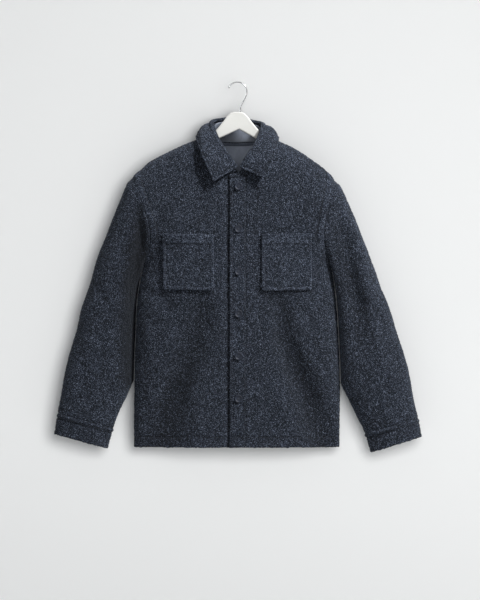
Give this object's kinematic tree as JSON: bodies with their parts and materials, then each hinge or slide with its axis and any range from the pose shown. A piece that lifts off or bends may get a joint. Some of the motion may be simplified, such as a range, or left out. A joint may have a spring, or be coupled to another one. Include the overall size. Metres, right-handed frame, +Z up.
{
  "type": "shacket on a hanger",
  "caption": "Boxy wool shirt-jacket with a turned-down collar, chest patch pockets, buttoned placket and cuffed sleeves, hanging on a flat hanger with a wire hook",
  "frame": {"origin": "under the crest of the hanger's hook, on the rail that it would hang on, midway between front and back", "axes": "+X to the wearer's left, -Y out of the garment's front, +Z up"},
  "size_m": [0.8616, 0.1104, 0.8712],
  "materials": {
    "wool": "dark navy boucle wool with paler blue-grey curls",
    "lining": "smooth blue-grey lining with a soft sheen",
    "tape": "woven dark navy tape",
    "button": "dark navy resin, satin",
    "hanger": "white lacquer, satin",
    "hook": "plated steel wire"
  },
  "bodies": {
    "root": {"right_front": "wool", "left_front": "wool", "placket": "wool", "back": "wool", "right_sleeve": "wool", "left_sleeve": "wool", "right_cuff": "wool", "left_cuff": "wool", "collar_band": "wool", "collar_leaf": "wool", "right_pocket": "wool", "left_pocket": "wool", "band_facing": "lining", "back_lining": "lining", "neck_tape": "tape", "button_1": "button", "button_2": "button", "button_3": "button", "button_4": "button", "button_5": "button", "button_6": "button", "hanger": "hanger", "hanger_hook": "hook"}
  },
  "joints": []
}
